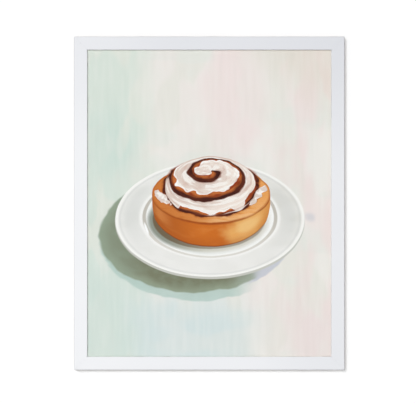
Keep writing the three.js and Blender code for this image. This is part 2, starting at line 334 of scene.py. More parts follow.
# the wall shows the frame's shadow, but throws no light or shadow of its own
for ray in ("diffuse", "glossy", "transmission", "volume_scatter", "shadow"):
    setattr(wall, "visible_" + ray, False)
floor = backdrop(
    "floor",
    [(-FLOOR_REACH, -FLOOR_REACH, floor_z), (FLOOR_REACH, -FLOOR_REACH, floor_z),
     (FLOOR_REACH, FLOOR_REACH, floor_z), (-FLOOR_REACH, FLOOR_REACH, floor_z)],
    (0.85, 0.85, 0.85, 1),
    glow=0.45,
)
floor.visible_diffuse = False
print("wall and floor:", 2 * WALL_REACH, "m and", 2 * FLOOR_REACH, "m wide")

# %% [markdown]
# ## The light
#
# Light from all round comes from the world, as in a bright room. The key lamp stands high on the left, so
# it draws the narrow shadow to the right of the frame and below it. A front lamp lights the picture through
# the glass. The fill is weak and low on the left. The last lamp lights the back, for a look from behind.
#
# The key, the front and the back lamp are suns, because a near lamp would light one corner more than the
# next. Each share says how much a lamp adds to a white surface. The sky, the key and the front together
# come to about 1, so white paper is just short of too bright.

# %% How bright each light is
SKY = 0.24
KEY = 0.31
KEY_SIDEWAYS = 0.25  # how far the shadow moves to the right and down for each unit of depth
KEY_WIDTH = math.radians(8)
FRONT = 0.47
FRONT_WIDTH = math.radians(12)
BACK = 0.65
BACK_WIDTH = math.radians(25)
SEEN_SKY = 1.02  # how bright the world looks in the view itself
FILL_ENERGY = 1.2  # watts
print("light on white paper:", round(SKY + KEY + FRONT, 2))

# %% Sky
world = bpy.data.worlds.new("room")
world.use_nodes = True
bpy.context.scene.world = world
room = Sketch(world.node_tree)
background = world.node_tree.nodes["Background"]
seen = room.node("ShaderNodeLightPath")
brightness = Field(room, seen.outputs["Is Camera Ray"]) * (SEEN_SKY - SKY) + SKY
background.inputs["Color"].default_value = (0.985, 0.995, 1.0, 1)
room.put(brightness, background.inputs["Strength"])


# %% Lamps
def aim(lamp, direction):
    lamp.rotation_euler = Vector(direction).to_track_quat("-Z", "Y").to_euler()
    bpy.context.scene.collection.objects.link(lamp)


def far_lamp(name, share, width, direction):
    """A lamp so far away that its light is even. Share is how much it adds to a white surface."""
    data = bpy.data.lights.new(name, "SUN")
    data.energy = share * math.pi
    data.angle = width
    lamp = bpy.data.objects.new(name, data)
    aim(lamp, direction)
    return lamp


far_lamp("key", KEY, KEY_WIDTH, (KEY_SIDEWAYS, 1, -KEY_SIDEWAYS))
front = far_lamp("front", FRONT, FRONT_WIDTH, (0.06, 1, -0.07))
front.visible_glossy = False  # or the glass would mirror it straight into the camera
back = far_lamp("back", BACK, BACK_WIDTH, (-0.5, -1, -0.6))
back.data.cycles.max_bounces = 0  # or the bare wood behind would throw a warm glow on the wall

fill_data = bpy.data.lights.new("fill", "AREA")
fill_data.energy = FILL_ENERGY
fill_data.size = 1.0
fill = bpy.data.objects.new("fill", fill_data)
fill.location = (-0.9, -1.1, middle.z - 0.8)
aim(fill, middle - Vector(fill.location))

scene = bpy.context.scene
scene.view_settings.view_transform = "Standard"
scene.view_settings.look = "None"

# %% [markdown]
# ## Unevenness
#
# No real surface is one flat value. Each finish below adds the same two things at its own scale: a broad
# drift, such as a thin patch of lacquer, and a fine grain. They come from one node group, so that each
# finish only says how wide its patches and how fine its grain are.

# %% Shared group: broad patches and fine grain
def unevenness_group():
    tree = bpy.data.node_groups.new("unevenness", "ShaderNodeTree")
    face = tree.interface
    face.new_socket("Place", in_out="INPUT", socket_type="NodeSocketVector")
    for name, value in (("Patches per metre", 8.0), ("Grains per metre", 900.0)):
        socket = face.new_socket(name, in_out="INPUT", socket_type="NodeSocketFloat")
        socket.default_value = value
    for name in ("Patches", "Grain"):
        face.new_socket(name, in_out="OUTPUT", socket_type="NodeSocketFloat")
    sketch = Sketch(tree)
    given = tree.nodes.new("NodeGroupInput")
    result = tree.nodes.new("NodeGroupOutput")
    place, patches, grains = (Field(sketch, given.outputs[i]) for i in range(3))
    sketch.put(sketch.noise(place, patches, detail=3.0), result.inputs["Patches"])
    sketch.put(sketch.noise(place, grains, detail=2.0), result.inputs["Grain"])
    return tree


UNEVENNESS = unevenness_group()
print("shared group:", UNEVENNESS.name, "with", len(UNEVENNESS.nodes), "nodes")


def unevenness(sketch, place, patches, grains):
    """The two fields of the shared group, in a finish's own tree."""
    node = sketch.node("ShaderNodeGroup", node_tree=UNEVENNESS)
    sketch.put(place, node.inputs["Place"])
    node.inputs["Patches per metre"].default_value = patches
    node.inputs["Grains per metre"].default_value = grains
    return Field(sketch, node.outputs["Patches"]), Field(sketch, node.outputs["Grain"])


# %% [markdown]
# ## The rails
#
# The moulding is wood, sprayed with white satin lacquer. Sprayed lacquer has a faint orange-peel ripple and
# slightly uneven gloss. The back isn't sprayed: it shows bare pale wood, with a soft edge of overspray.
#
# One material could serve all four rails, but wood grain has to run along each of them. So each rail gets
# its own, made by one function that is told which way the rail runs. Painted shade greys the white a
# little, least at the lower left and most at the upper right. The painted shade runs along each rail and
# on round the corners, so that no mitre shows a step.

# %% White lacquer over wood
def lacquered_wood(name, along_x, painted_shade_stops):
    material, sketch, shader = new_finish(name)
    place = sketch.place()
    patches, grain = unevenness(sketch, place, 9.0, 700.0)
    axis = 0 if along_x else 2
    along = (sketch.parts(place)[axis] - middle[axis]) / (size[axis] / 2)
    # painted shade: how grey the white is along the rail, from its start through its middle to its end
    start, centre, end = painted_shade_stops
    to_end = (end - centre) * sketch.step(along, 0.1, 1.0)
    to_start = (start - centre) * sketch.step(along, -0.1, -1.0)
    painted_shade = centre + to_end + to_start

    white = sketch.mix(patches, tint("ECEDF0"), tint("F0F1F3"))
    # the painted shade greys the lacquer's white towards this grey
    white = sketch.mix(painted_shade, white, tint("D3D5DB"))
    stretch = (14, 260, 260) if along_x else (260, 260, 14)
    fibres = sketch.noise(sketch.scaled(place, stretch), 1.0, detail=4.0, distortion=0.6)
    wood = sketch.mix(sketch.step(fibres, 0.35, 0.7), tint("D9B98A"), tint("B98F5C"))

    back = sketch.parts(sketch.facing())[1]
    overspray = sketch.noise(place, 120.0, detail=3.0) * 0.5
    bare = sketch.step(back, 0.75 + overspray * 0.2, 0.95)
    sketch.put(sketch.mix(bare, white, wood), shader.inputs["Base Color"])
    sketch.put(0.36 + patches * 0.12 + bare * 0.3, shader.inputs["Roughness"])
    ripple = grain * 0.3 + bare * fibres
    sketch.put(sketch.bump(ripple, 0.25, 0.0002), shader.inputs["Normal"])
    return material


# how much painted shade greys the white at each corner, from 0 to 1
TOP_LEFT = 0.30
TOP_RIGHT = 0.70
BOTTOM_LEFT = 0.0
BOTTOM_RIGHT = 0.35
painted_shade_per_rail = {
    "top_rail": (TOP_LEFT, 0.55, TOP_RIGHT),
    "right_rail": (BOTTOM_RIGHT, 0.25, TOP_RIGHT),
    "left_rail": (BOTTOM_LEFT, 0.0, TOP_LEFT),
    "bottom_rail": (BOTTOM_LEFT, 0.10, BOTTOM_RIGHT),
}
for rail, painted_shade_stops in painted_shade_per_rail.items():
    along_x = rail in ("top_rail", "bottom_rail")
    dress(rail, lacquered_wood(rail + "_lacquer", along_x, painted_shade_stops))
print("rails lacquered:", len(painted_shade_per_rail))

# %% [markdown]
# ## The picture
#
# The print shows a soft still life: a cinnamon roll on a white plate, on a pale ground. It is painted here
# the way a painter would work, from the ground up: the wash, the shadow that the plate casts, the plate,
# the side of the roll, and last its iced top. Each layer is a node group. It takes the colours under it and
# gives them back painted over, and its shapes are formulas in centimetres from the middle of the sheet, so
# their edges stay crisp at any distance.

# %% Layers of paint
def layer(name, paint):
    """A node group that paints one layer of the picture over the colours under it."""
    tree = bpy.data.node_groups.new(name, "ShaderNodeTree")
    tree.interface.new_socket("Place", in_out="INPUT", socket_type="NodeSocketVector")
    tree.interface.new_socket("Under", in_out="INPUT", socket_type="NodeSocketColor")
    tree.interface.new_socket("Painted", in_out="OUTPUT", socket_type="NodeSocketColor")
    sketch = Sketch(tree)
    given = sketch.node("NodeGroupInput")
    result = sketch.node("NodeGroupOutput")
    place, under = (Field(sketch, given.outputs[i]) for i in range(2))
    sketch.put(paint(sketch, place, under), result.inputs["Painted"])
    print(name, "takes", len(tree.nodes), "nodes")
    return tree


def oval(sketch, x, z, centre, reach):
    """How far out a point is from an oval's centre: 1 on its edge."""
    across = (x - centre[0]) / reach[0]
    up = (z - centre[1]) / reach[1]
    return sketch.math("SQRT", across * across + up * up)


# %% [markdown]
# The wash is a cream ground with pale green on the left, blush on the right and a little blue below. A
# wide flat brush leaves broad dabs, upright and level, which are the cells of an uneven grid with soft
# borders. The faint trails of its bristles are noise, stretched along the brush's path.
#
# Every layer below is a list of such touches: a `step` says where a colour ends and how softly, and `mix`
# lays it over what is there. The numbers are chosen as on a palette.

# %% The wash
def paint_wash(sketch, place, under):
    """The ground. It covers the whole sheet, so nothing of the colour under it is left."""
    x, z = sketch.parts(place)[:2]
    wobble = sketch.shaken(place, 0.35, 1.6)
    upright = sketch.dabs(sketch.scaled(wobble, (0.30, 0.13, 1)), 0.35)
    level = sketch.dabs(sketch.scaled(wobble, (0.13, 0.34, 1), (7, 3, 0)), 0.5)
    strokes = sketch.noise(sketch.scaled(place, (0.45, 0.14, 1)), 1.0, detail=3.0)
    blots = sketch.noise(sketch.scaled(place, (0.13, 0.09, 1), (4, 9, 0)), 1.0, detail=2.0)
    drift = (strokes - 0.5) * 5 + (blots - 0.5) * 12 + (upright - 0.5) * 4

    ground = sketch.mix(sketch.step(upright, 0.2, 0.8), tint("E8E6DF"), tint("EDEAE5"))
    ground = sketch.mix(sketch.step(level, 0.55, 0.8) * 0.5, ground, tint("E4E7E1"))
    green = sketch.step(x * -1 + drift, 7.5, 13.0)
    sage = sketch.mix(sketch.step(upright, 0.35, 0.75), tint("D8E3DA"), tint("E0E5DC"))
    sage = sketch.mix(sketch.step(z, -4, -16) * 0.6, sage, tint("CCDED8"))
    ground = sketch.mix(green * 0.92, ground, sage)
    teal = oval(sketch, x + drift * 0.4, z + drift * 0.3, (-16.5, 9.0), (5.5, 7.0))
    ground = sketch.mix(sketch.step(teal, 1.15, 0.35) * 0.5, ground, tint("C9DDD5"))
    blush = sketch.noise(sketch.scaled(place, (0.16, 0.07, 1), (1, 2, 0)), 1.0, detail=2.0)
    blush = sketch.step(blush + (upright - 0.5) * 0.14, 0.42, 0.62)
    ground = sketch.mix(blush * sketch.step(x + z * 0.3, -6.0, 12.0) * 0.65, ground, tint("EDDCDA"))
    rose = oval(sketch, x + drift * 0.3, z - drift * 0.3, (4.0, 17.5), (6.5, 10.5))
    ground = sketch.mix(sketch.step(rose, 1.1, 0.5) * 0.6, ground, tint("F0E3E1"))
    shade = sketch.step(x * 0.7 + z + drift * 0.5, 25.0, 34.0)
    ground = sketch.mix(shade * 0.6, ground, tint("E2D8CD"))
    low = sketch.step(z * -1 + drift * 0.6, 12.0, 20.0)
    pool = low * sketch.step(sketch.math("ABSOLUTE", x + 2.5 + drift * 0.5), 14.0, 5.0)
    ground = sketch.mix(pool * (0.55 + level * 0.4), ground, tint("D5E1E1"))
    warm = low * sketch.step(x - drift * 0.8, 6.0, 16.0)
    ground = sketch.mix(warm * (0.35 + upright * 0.5), ground, tint("EADEDC"))
    bristles = sketch.noise(sketch.scaled(place, (1.3, 0.16, 1)), 1.0, detail=3.0)
    ground = sketch.mix(sketch.step(bristles, 0.42, 0.72) * 0.14, ground, tint("F5F3F0"))
    return sketch.mix(sketch.step(bristles, 0.48, 0.28) * 0.05, ground, tint("BDC2B8"))


# %% [markdown]
# The plate and the roll are ovals, because round things seen at a slant are. All of their sizes are named
# here once, in centimetres.

# %% Where things lie in the picture
PLATE_CENTRE = (0.1, -2.6)
PLATE_REACH = (15.3, 9.3)
WELL_CENTRE = (0.1, -2.3)
WELL_REACH = (10.9, 6.5)
SHADOW_CENTRE = (-2.5, -5.1)  # the shadow has the plate's own reach
HALO_CENTRE = (-1.9, -5.8)  # its pale outer edge
HALO_REACH = (15.9, 10.0)
SHADOW_END = 8.5  # where the shadow fades out on the right
ROLL_X = 0.3
ROLL_FOOT = -2.25  # height of the foot's oval
ROLL_TOP = 1.5  # height of the rim's oval
ROLL_REACH = (9.6, 4.7)
ROLL_TAPER = 1.15  # how much narrower the drum is low down
DOME_CENTRE = 2.5
DOME_REACH = (7.5, 4.35)
DOME_RISE = 2.6
COILS = 2.5
print("roll:", round(ROLL_REACH[0] / PLATE_REACH[0], 2), "of the plate's width")

# %% [markdown]
# The light in the picture comes from the upper right, so the plate's shadow falls to its lower left. It is
# an oval of olive green, deepest next to the plate, with a paler teal edge. On the right it thins out into
# a touch of lilac.

# %% The shadow under the plate
def paint_shadow(sketch, place, under):
    x, z = sketch.parts(sketch.shaken(place, 0.45, 0.9))[:2]
    out = oval(sketch, x, z, SHADOW_CENTRE, PLATE_REACH)
    patches = sketch.noise(sketch.scaled(place, (0.5, 0.8, 1)), 1.0, detail=2.0)
    beyond = oval(sketch, x, z, HALO_CENTRE, HALO_REACH) + (patches - 0.5) * 0.08
    halo = sketch.step(beyond, 1.02, 0.98) * sketch.step(x, SHADOW_END, 3.0)
    painted = sketch.mix(halo * 0.8, under, sketch.mix(patches, tint("BDD2CB"), tint("A6C0B8")))
    lilac = sketch.step(out, 1.05, 1.02) * sketch.step(x, 5.5, 7.5)
    painted = sketch.mix(lilac * 0.75, painted, tint("BEC3D0"))
    dab = oval(sketch, x, z, (16.2, -2.3), (1.0, 0.9))
    painted = sketch.mix(sketch.step(dab, 1.2, 0.3) * 0.55, painted, tint("C9CBD2"))
    near = sketch.step(out, 1.0, 0.84)
    sage = sketch.mix(near, tint("96A18C"), tint("7C7F68"))
    sage = sketch.mix(sketch.step(patches, 0.4, 0.7) * 0.5, sage, tint("8B9681"))
    sage = sketch.mix(sketch.step(x, -9, -14) * 0.4, sage, tint("97A795"))
    sage = sketch.mix(sketch.step(x, 2.0, 7.0) * 0.6, sage, tint("A8B1A6"))
    return sketch.mix(sketch.step(out, 1.02, 0.985) * sketch.step(x, SHADOW_END, 6.5), painted, sage)


# %% [markdown]
# The plate is white china, so only small changes of tone show its shape. From outside in there is the
# bright lip with a thin shade under it, the rim that slopes inward, the wall of the well, and the well's
# floor. Each is an oval inside the last.

# %% The plate
def paint_plate(sketch, place, under):
    x, z = sketch.parts(sketch.shaken(place, 0.3, 0.14))[:2]
    sweep = sketch.noise(sketch.scaled(place, (0.22, 0.5, 1)), 1.0, detail=3.0)
    lip = oval(sketch, x, z + 0.36, PLATE_CENTRE, PLATE_REACH)
    painted = sketch.mix(sketch.step(lip, 1.006, 0.998), under, tint("C9C9C2"))
    out = oval(sketch, x, z, PLATE_CENTRE, PLATE_REACH)
    right = sketch.step(x, -13, 13)
    low = sketch.step(z, -1.0, -9.0)

    china = sketch.mix(right, tint("E9E9E5"), tint("E1DFD9"))
    china = sketch.mix(low * 0.85, china, tint("EBEAE7"))
    china = sketch.mix(sketch.step(z, 3.0, 5.5) * 0.6, china, tint("ECECEA"))
    china = sketch.mix(sketch.step(sweep, 0.38, 0.62) * 0.35, china, tint("F4F3F1"))
    slope = sketch.step(out, 0.68, 0.80) * sketch.step(out, 0.97, 0.86)
    sides = sketch.step(sketch.math("ABSOLUTE", x), 7.0, 12.5)
    china = sketch.mix(slope * sides * (0.38 - low * 0.25), china, tint("C6C8C6"))
    edge = sketch.step(out, 0.955, 0.985)
    china = sketch.mix(edge * 0.8, china, tint("FAF9F6"))
    inner_edge = sketch.step(out, 0.925, 0.955) * sketch.step(out, 0.97, 0.955)
    china = sketch.mix(inner_edge * 0.25, china, tint("B9BCBB"))

    well = oval(sketch, x, z, WELL_CENTRE, WELL_REACH)
    china = sketch.mix(sketch.step(well, 1.07, 1.02) * 0.75, china, tint("F8F7F5"))
    rim_wall = sketch.mix(low, tint("BDB7AD"), tint("DAD6CF"))
    china = sketch.mix(sketch.step(well, 1.008, 0.996) * 0.9, china, rim_wall)
    floor_centre = (WELL_CENTRE[0], WELL_CENTRE[1] + 0.05)
    inner = oval(sketch, x, z, floor_centre, (WELL_REACH[0] - 0.55, WELL_REACH[1] - 0.22))
    floor_tone = sketch.mix(right, tint("E0E4E2"), tint("EFEEEA"))
    floor_tone = sketch.mix(sketch.step(inner, 0.99, 0.93), tint("F7F7F5"), floor_tone)
    china = sketch.mix(sketch.step(inner, 1.012, 0.99), china, floor_tone)
    glint = oval(sketch, x + z * 0.35, z, (-11.6, -4.1), (0.28, 1.3))
    china = sketch.mix(sketch.step(glint, 1.0, 0.4), china, tint("FFFFFF"))
    return sketch.mix(sketch.step(out, 1.004, 0.996), painted, china)


# %% [markdown]
# The side of the roll is a drum that narrows towards its foot. For a point on it, `across` runs from -1 at
# its left edge to 1 at its right edge, and `up` from 0 at its foot to 1 at its rim, whose front edges are
# half ovals. First comes its shadow on the plate, a wide soft smudge and a thin dark one at the foot.

# %% The side of the roll
def paint_side(sketch, place, under):
    x, z = sketch.parts(sketch.shaken(place, 0.6, 0.14))[:2]
    left = sketch.step(x, 1.0, -8.0)
    smudge = oval(sketch, x, z, (ROLL_X - 0.6, ROLL_FOOT - 0.6), (ROLL_REACH[0] - 0.1, 4.95))
    shade = sketch.mix(left, tint("B5AB92"), tint("8C9185"))
    painted = sketch.mix(sketch.step(smudge, 1.08, 0.96) * (0.45 + left * 0.5), under, shade)
    contact = oval(sketch, x, z, (ROLL_X - 0.35, ROLL_FOOT - 0.32), (ROLL_REACH[0] - 0.45, 4.85))
    painted = sketch.mix(sketch.step(contact, 1.015, 0.98) * (0.6 + left * 0.3), painted, tint("6E5C42"))

    half_width = ROLL_REACH[0] - ROLL_TAPER * sketch.step(z, 0.0, ROLL_FOOT - 3.5)
    across = (x - ROLL_X) / half_width
    front = sketch.math("SQRT", sketch.math("MAXIMUM", 1 - across * across, 0.0))
    up = (z - ROLL_FOOT + front * (ROLL_REACH[1] + 0.1)) / (ROLL_TOP - ROLL_FOOT)
    bands = sketch.noise(sketch.vector(across * 1.6, up * 2.2, 3.0), 1.0, detail=3.0)
    blotches = sketch.noise(sketch.scaled(place, (0.35, 0.5, 1), (2, 7, 0)), 1.0, detail=2.0)

    crust = sketch.mix(sketch.step(across, -0.95, -0.1), tint("B05C1E"), tint("CC6E20"))
    crust = sketch.mix(sketch.step(across + (blotches - 0.5) * 0.6, 0.10, 0.55), crust, tint("E6AC63"))
    golden = oval(sketch, across, up, (0.66, 0.55), (0.24, 0.42))
    crust = sketch.mix(sketch.step(golden + (bands - 0.5), 1.1, 0.3) * 0.6, crust, tint("F2CC8C"))
    crust = sketch.mix(sketch.step(across, 0.80, 1.0) * 0.7, crust, tint("CB8039"))
    lit_left = sketch.step(across, -0.65, -0.90) * sketch.step(up, 0.2, 0.7)
    crust = sketch.mix(lit_left * 0.6, crust, tint("D88C4C"))
    crust = sketch.mix(sketch.step(across, -0.90, -1.0) * 0.65, crust, tint("A04E1B"))
    low = sketch.step(up + (bands - 0.5) * 0.6, 0.5, 0.0)
    crust = sketch.mix(low * (1 - sketch.step(across, 0.1, 0.9) * 0.6) * 0.6, crust, tint("B75D1C"))
    crust = sketch.mix(sketch.step(bands, 0.5, 0.75) * 0.35, crust, tint("E39447"))
    crust = sketch.mix(sketch.step(up, 0.08, 0.0) * 0.85, crust, tint("6F3212"))
    crust = sketch.mix(sketch.step(up, 0.90, 1.0) * 0.85, crust, tint("984614"))
    inside = sketch.step(sketch.math("ABSOLUTE", across), 1.0, 0.99) * sketch.step(up, -0.012, 0.02)
    return sketch.mix(inside * sketch.step(z, ROLL_TOP + 0.1, ROLL_TOP), painted, crust)


# %% [markdown]
# The outer coil is a flat ring on the drum, and the inner coils rise in a dome. The ring is an oval of
# golden dough, lighter where it faces the light. A dark crease runs round the foot of the dome, and two
# dollops of icing have slid down on to the ring.

# %% The outer coil
def paint_ring(sketch, place, under):
    """The flat outer coil, the dark crease where the dome rises from it, and two dollops of icing."""
    x, z = sketch.parts(sketch.shaken(place, 0.5, 0.35))[:2]
    x = x - ROLL_X
    rim = oval(sketch, x, z, (0.0, ROLL_TOP), ROLL_REACH)
    right = sketch.step(x, -8.5, 8.5)
    nearer = sketch.step(z, 1.5, -2.5)
    swirl = sketch.noise(sketch.scaled(place, (0.28, 1.9, 1), (1, 3, 0)), 1.0, detail=3.0)
    dough = sketch.mix(right, tint("CC7A38"), tint("E8A45C"))
    lit = nearer * sketch.step(x, -3.0, 3.0) * sketch.step(swirl, 0.40, 0.58)
    dough = sketch.mix(lit * 0.8, dough, tint("F0C08A"))
    dough = sketch.mix(sketch.step(swirl, 0.44, 0.34) * 0.5, dough, tint("C06A2A"))
    dough = sketch.mix(sketch.step(rim, 0.95, 0.99) * 0.65, dough, tint("B4601F"))
    painted = sketch.mix(sketch.step(rim, 1.0, 0.99), under, dough)

    wander = sketch.noise(sketch.scaled(place, (0.5, 0.6, 1), (3, 1, 0)), 1.0, detail=2.0)
    crease_reach = (DOME_REACH[0] + 0.5, DOME_REACH[1] + 0.42)
    crease = oval(sketch, x, z, (0.0, DOME_CENTRE - 0.05), crease_reach) + (wander - 0.5) * 0.16
    painted = sketch.mix(sketch.step(crease, 1.045, 0.985) * 0.7, painted, tint("A8541F"))
    dark = sketch.mix(sketch.step(swirl, 0.35, 0.65), tint("421407"), tint("6B2E16"))
    painted = sketch.mix(sketch.step(crease, 1.0, 0.975), painted, dark)

    smear = sketch.noise(sketch.scaled(place, (0.9, 1.1, 1), (6, 4, 0)), 1.0, detail=2.0)
    icing = sketch.mix(sketch.step(smear, 0.42, 0.58), tint("DFCFC6"), tint("F8F3EF"))
    on_ring = sketch.step(rim, 0.965, 0.945)
    left_dollop = ((-7.9, 0.9), (0.75, 1.3), 0.8)
    right_dollop = ((7.7, 1.5), (0.7, 1.9), -0.8)
    for spot, reach, lean in (left_dollop, right_dollop):
        dollop = oval(sketch, x + (z - spot[1]) * lean, z, spot, reach) + (smear - 0.5) * 2.4
        painted = sketch.mix(sketch.step(dollop, 1.12, 0.98) * on_ring * 0.6, painted, tint("B4622F"))
        painted = sketch.mix(sketch.step(dollop, 0.98, 0.93) * on_ring, painted, icing)
    return painted


# %% [markdown]
# To paint on the dome, each point of the picture has to be traced back to the place on the dome that it
# shows. The dome is half of a ball, squashed, and it is seen from a slant. So the point is first put on the
# ball as the viewer sees it, and the ball is then tipped back level. The way from the dome's top down to
# its foot is `out`, from 0 to 1.

# %% From the picture to the dome
def trace_to_dome(sketch, x, z):
    """How far inside the dome's outline a point of the picture is, how far down it, and its bearing."""
    slant = math.hypot(DOME_REACH[1], DOME_RISE)
    across = x / DOME_REACH[0]
    up = (z - DOME_CENTRE) / slant
    inside = 1 - across * across - up * up
    toward = sketch.math("SQRT", sketch.math("MAXIMUM", inside, 0.0))
    depth = (up * DOME_REACH[1] - toward * DOME_RISE) / slant
    height = (up * DOME_RISE + toward * DOME_REACH[1]) / slant
    from_axis = sketch.math("SQRT", across * across + depth * depth)
    out = sketch.math("ARCTAN2", from_axis, height) / (math.pi / 2)
    steady = sketch.math("MAXIMUM", from_axis, 0.02)
    return inside, out, across / steady, depth / steady


# %% [markdown]
# The coils follow from the sum of `out` and the angle, as in any spiral. Its whole part counts the coils,
# and `along` is the way across one coil, from its inner edge to its outer one: icing on top, dough on its
# outer side, where that faces the viewer, and the dark cinnamon in the groove. In front the icing has run
# down in a few drips.

# %% The coiled dome
def paint_dome(sketch, place, under):
    """The coiled dome with its icing."""
    x, z = sketch.parts(sketch.shaken(place, 0.55, 0.34))[:2]
    inside, out, bearing_x, bearing_y = trace_to_dome(sketch, x - ROLL_X, z)
    angle = sketch.math("ARCTAN2", bearing_y, bearing_x) / (2 * math.pi)
    front = 0.5 - bearing_y * 0.5
    right = sketch.step(x, -7.0, 6.0)

    ripple = sketch.noise(sketch.scaled(place, (0.5, 0.7, 1), (5, 2, 0)), 1.0, detail=1.0)
    turns = out * COILS + angle + (ripple - 0.5) * 0.30 + 0.70
    along = sketch.math("FRACT", turns)
    scallops = sketch.noise(sketch.scaled(place, (0.7, 0.9, 1), (8, 5, 0)), 1.0, detail=0.6)
    drops = sketch.noise(sketch.vector(bearing_x * 1.7, bearing_y * 1.7, 4.0), 1.0, detail=1.0)
    drip = sketch.step(drops, 0.42, 0.64) * sketch.step(front, 0.40, 0.80)
    drip_here = drip * sketch.step(out, 0.74, 0.86)
    icing_end = 0.78 - front * 0.18 + (scallops - 0.5) * 0.50 + drip_here * 0.6
    groove_start = 0.89 - front * 0.07 + (ripple - 0.5) * 0.16 + drip_here * 0.6
    strokes = sketch.noise(sketch.vector(bearing_x * 1.4, bearing_y * 1.4, out * 11), 1.0, detail=3.0)

    icing = sketch.mix(right, tint("E0CFC5"), tint("F0E4DA"))
    icing = sketch.mix(sketch.step(along, 0.45, 0.05) * 0.35, icing, tint("C9AFA5"))
    icing = sketch.mix(sketch.step(strokes, 0.48, 0.58) * 0.8, icing, tint("F9F5F0"))
    icing = sketch.mix(sketch.step(strokes, 0.45, 0.33) * 0.65, icing, tint("D3B5A8"))
    rim_light = sketch.step(along, icing_end - 0.11, icing_end - 0.05)
    icing = sketch.mix(rim_light * sketch.step(strokes, 0.35, 0.55) * 0.8, icing, tint("FDFBF8"))

    dough = sketch.mix(sketch.step(strokes, 0.40, 0.58), tint("943A14"), tint("C46F37"))
    dough = sketch.mix(sketch.step(along, groove_start - 0.14, groove_start) * 0.75, dough, tint("6E2D0E"))
    coil = sketch.mix(sketch.step(along, icing_end - 0.012, icing_end + 0.012), icing, dough)
    groove = sketch.mix(sketch.step(strokes, 0.35, 0.7), tint("3A1006"), tint("5C2612"))
    coil = sketch.mix(sketch.step(along, groove_start - 0.02, groove_start + 0.015), coil, groove)
    coil = sketch.mix(sketch.step(along, 0.06, 0.01) * (1 - drip_here) * 0.85, coil, tint("7C4029"))

    foot = 1.0 + drip * 0.09
    edge = sketch.step(out, foot - 0.035, foot - 0.005)
    coil = sketch.mix(edge * (0.85 - drip * 0.6), coil, tint("8A4A2C"))
    outline = sketch.step(inside, 0.06, 0.0) * (1 - front) * 0.6
    coil = sketch.mix(outline, coil, tint("B47C5B"))
    notch = sketch.math("COSINE", (along - 0.95) * (2 * math.pi)) * 0.035 + 0.02
    in_outline = sketch.step(inside, notch - 0.012, notch + 0.012)
    above_foot = sketch.step(out, foot + 0.008, foot - 0.008)
    return sketch.mix(in_outline * above_foot, under, coil)


# %% [markdown]
# The layers are stacked in the paper's material. The paper is heavy and matt, with a fine tooth and hardly
# any shine, which keeps the dark tones deep. Only its front is printed, so the white of the sheet shows on
# its edges and its back. The sheet gets a map of its own, so that a texture baked from it gives nearly all
# of its room to the picture.

# %% The printed sheet
sheet_low, sheet_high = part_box("art_print")
sheet_middle = (sheet_low + sheet_high) / 2
MAP_MARGIN = 0.004
PICTURE_SHARE = 0.79  # of the map's width, so that the other faces share the rest
LAYERS = [
    ("wash", paint_wash),
    ("cast_shadow", paint_shadow),
    ("plate", paint_plate),
    ("roll_side", paint_side),
    ("outer_coil", paint_ring),
    ("iced_dome", paint_dome),
]


def printed_paper():
    material, sketch, shader = new_finish("printed_paper")
    place = sketch.place()
    in_cm = (100, 100, 100)
    x, _, z = sketch.parts(sketch.scaled(place, in_cm, (0, 0, -100 * sheet_middle.z)))
    plane = sketch.vector(x, z)
    colour = tint("E6E6E0")
    for name, paint in LAYERS:
        painted = sketch.node("ShaderNodeGroup", node_tree=layer(name, paint))
        sketch.put(plane, painted.inputs["Place"])
        sketch.put(colour, painted.inputs["Under"])
        colour = Field(sketch, painted.outputs["Painted"])
    patches, grain = unevenness(sketch, place, 30.0, 1500.0)
    front = sketch.step(sketch.parts(sketch.facing())[1], -0.5, -0.9)
    paper = sketch.mix(patches, tint("EDECE8"), tint("F3F2EE"))
    sketch.put(sketch.mix(front, paper, colour), shader.inputs["Base Color"])
    sketch.put(0.55 + grain * 0.2, shader.inputs["Roughness"])
    shader.inputs["Specular IOR Level"].default_value = 0.1
    sketch.put(sketch.bump(grain, 0.15, 0.0001), shader.inputs["Normal"])
    return material


# %% [markdown]
# The sheet itself is a thin slab that fills the space of the CAD one. It is made afresh only because it
# needs its map.

# %% The sheet and its map
def printed_sheet():
    """The sheet as a thin slab, with its picture side laid out over most of its own map."""
    mesh = bpy.data.meshes.new("printed_sheet")
    shape = bmesh.new()
    bmesh.ops.create_cube(shape, size=1.0)
    for vertex in shape.verts:
        for axis in range(3):
            vertex.co[axis] = sheet_high[axis] if vertex.co[axis] > 0 else sheet_low[axis]
    layout = shape.loops.layers.uv.new("OFBake")
    width = sheet_high.x - sheet_low.x
    height = sheet_high.z - sheet_low.z
    for face in shape.faces:
        front = face.normal.y < -0.5
        left, wide = (MAP_MARGIN, PICTURE_SHARE) if front else (0.81, 0.18)
        for loop in face.loops:
            across = (loop.vert.co.x - sheet_low.x) / width
            up = (loop.vert.co.z - sheet_low.z) / height
            loop[layout].uv = (left + wide * across, MAP_MARGIN + 0.99 * up)
    shape.to_mesh(mesh)
    shape.free()
    piece = bpy.data.objects.new("printed_sheet", mesh)
    bpy.context.scene.collection.objects.link(piece)
    return piece


sheet = printed_sheet()
sheet.data.materials.append(printed_paper())
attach(sheet, "frame")
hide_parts("art_print")
print("printed sheet:", [round(1000 * side, 1) for side in sheet_high - sheet_low], "mm")

# %% [markdown]
# ## The glass
#
# Picture glass is thin and clear. All that shows is its reflection, which is weak straight on and stronger
# at a slant. A clear shader mixed with a mirror by the Fresnel curve does just that, and it lets the room's
# light through to the print. Seen from inside the glass, the curve would turn every slanted ray back, so
# only the outer sides of the sheet mirror.

